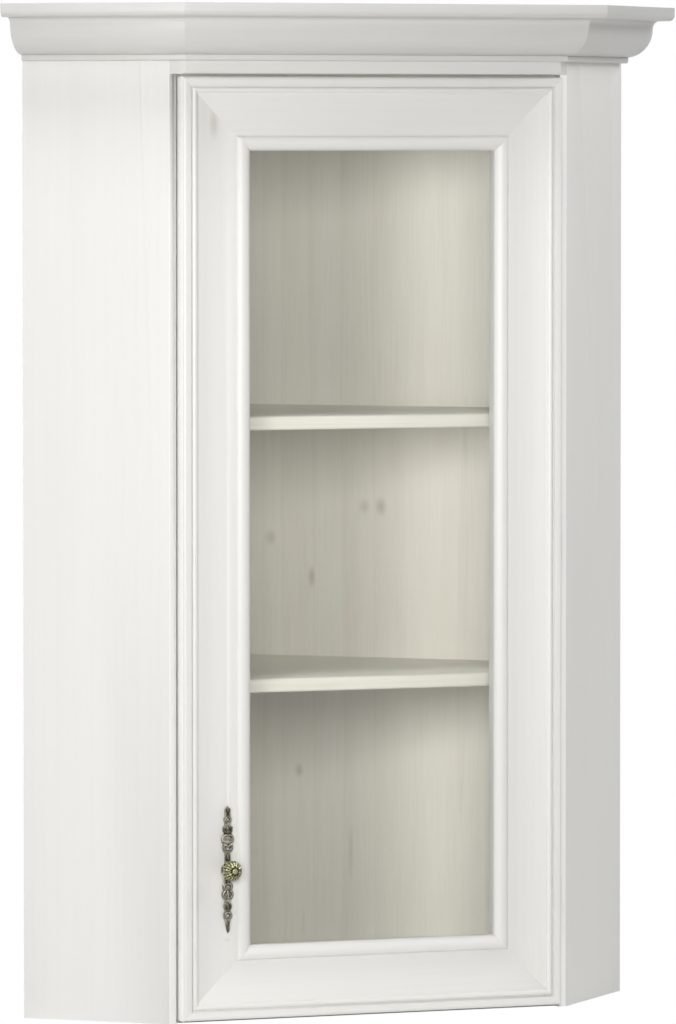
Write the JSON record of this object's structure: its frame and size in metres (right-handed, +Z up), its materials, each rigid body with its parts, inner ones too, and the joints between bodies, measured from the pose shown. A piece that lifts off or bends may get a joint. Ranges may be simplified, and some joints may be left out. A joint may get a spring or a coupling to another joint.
{
  "type": "corner wall cabinet",
  "caption": "Diagonal corner wall cabinet with a glazed, hinged door, mitred frame, shelves and a moulded cornice.",
  "frame": {"origin": "centre of the overall box in plan, at the underside of the carcass", "axes": "-Y out of the glazed front, +X to the viewer's right, +Z up"},
  "size_m": [0.8724, 0.6072, 1.2],
  "materials": {
    "white_pine": "white-glazed pine, satin lacquer",
    "inner_pine": "thinly glazed pine, matt lacquer",
    "beech": "bare beech",
    "clear_glass": "clear float glass",
    "antique_brass": "darkened antique brass",
    "zinc_steel": "zinc-plated steel",
    "white_plastic": "moulded plastic"
  },
  "bodies": {
    "cabinet": {"side_panel_left": "white_pine", "side_panel_right": "white_pine", "bottom_panel": "white_pine", "top_panel": "white_pine", "header_rail": "white_pine", "stop_strip": "white_pine", "back_panel_left": "inner_pine", "back_panel_right": "inner_pine", "hanging_rail_left": "inner_pine", "hanging_rail_right": "inner_pine", "shelf_lower": "white_pine", "shelf_upper": "white_pine", "shelf_pins": "zinc_steel", "carcass_dowels": "beech", "back_screws": "zinc_steel", "cornice_left": "white_pine", "cornice_front": "white_pine", "cornice_right": "white_pine", "cornice_screws": "zinc_steel", "hinge_post_leaf_bottom": "zinc_steel", "hinge_post_leaf_middle": "zinc_steel", "hinge_post_leaf_top": "zinc_steel", "hinge_pins": "zinc_steel", "hinge_post_screws": "zinc_steel", "catch_case": "white_plastic", "catch_poles": "zinc_steel", "catch_screws": "zinc_steel"},
    "door": {"door_stile_left": "white_pine", "door_stile_right": "white_pine", "door_rail_top": "white_pine", "door_rail_bottom": "white_pine", "mitre_tongues": "beech", "glass_pane": "clear_glass", "glazing_bead_left": "white_pine", "glazing_bead_right": "white_pine", "glazing_bead_top": "white_pine", "glazing_bead_bottom": "white_pine", "rest_buttons": "white_plastic", "handle_plate": "antique_brass", "knob": "antique_brass", "knob_screw": "zinc_steel", "hinge_door_leaf_bottom": "zinc_steel", "hinge_door_leaf_middle": "zinc_steel", "hinge_door_leaf_top": "zinc_steel", "hinge_door_screws": "zinc_steel", "strike_plate": "zinc_steel", "strike_screw": "zinc_steel"}
  },
  "joints": [
    {"name": "door_swing", "type": "hinge", "parent": "cabinet", "child": "door", "pos_m": [0.24515, -0.22224, 0.55], "axis": [0, 0, 1], "range_deg": [0, 95]}
  ]
}
